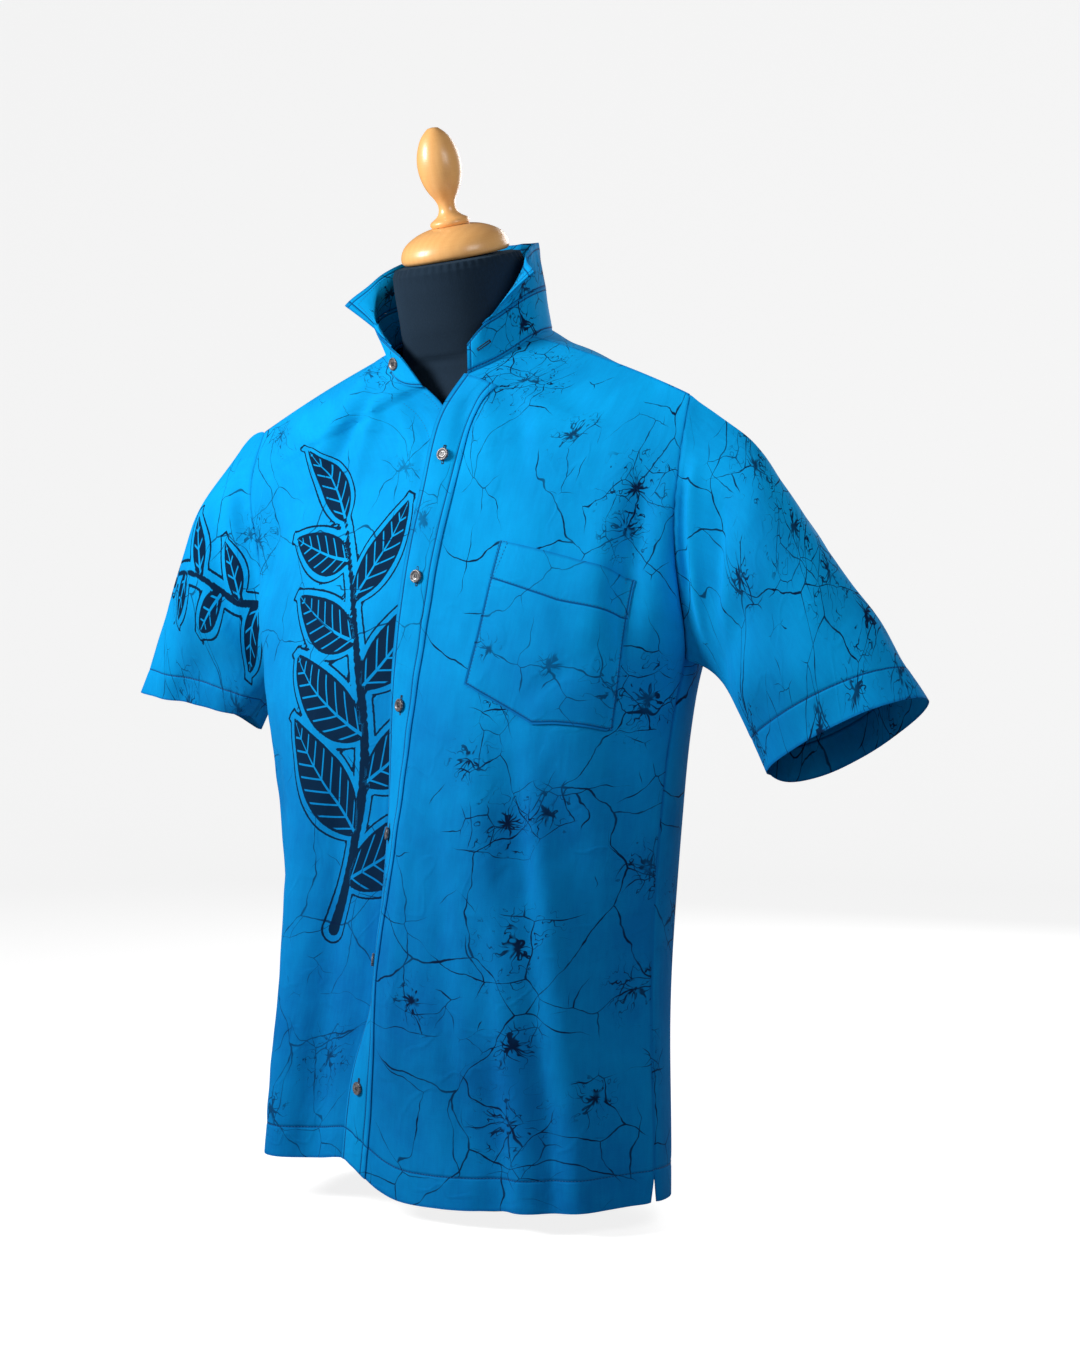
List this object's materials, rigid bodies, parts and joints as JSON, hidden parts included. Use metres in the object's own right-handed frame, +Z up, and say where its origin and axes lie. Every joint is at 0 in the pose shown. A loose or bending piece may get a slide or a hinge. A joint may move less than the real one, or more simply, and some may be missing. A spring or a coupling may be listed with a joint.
{
  "type": "batik shirt on a limbless dress form",
  "caption": "Short-sleeved buttoned batik shirt with a turned-up collar and a pointed chest pocket, on a limbless dress form with a turned cap and finial.",
  "frame": {"origin": "middle of the flat underside of the form's base board, on the surface it stands on", "axes": "+Z up, the shirt faces -Y, the wearer's left is +X"},
  "size_m": [0.892, 0.2473, 0.9403],
  "materials": {
    "cloth": "matt printed cotton, turquoise blue batik with dark crackle veins",
    "button": "satin grey-brown four-hole button",
    "jersey": "matt black jersey",
    "wood": "satin varnished turned beech"
  },
  "bodies": {
    "root": {"front_left": "cloth", "front_right": "cloth", "back": "cloth", "placket": "cloth", "pocket": "cloth", "sleeve_left": "cloth", "sleeve_right": "cloth", "collar_stand": "cloth", "collar_leaf": "cloth", "button_1": "button", "button_2": "button", "button_3": "button", "button_4": "button", "button_5": "button", "button_6": "button", "button_7": "button", "form_torso": "jersey", "form_base": "wood", "form_cap": "wood", "form_finial": "wood"}
  },
  "joints": []
}
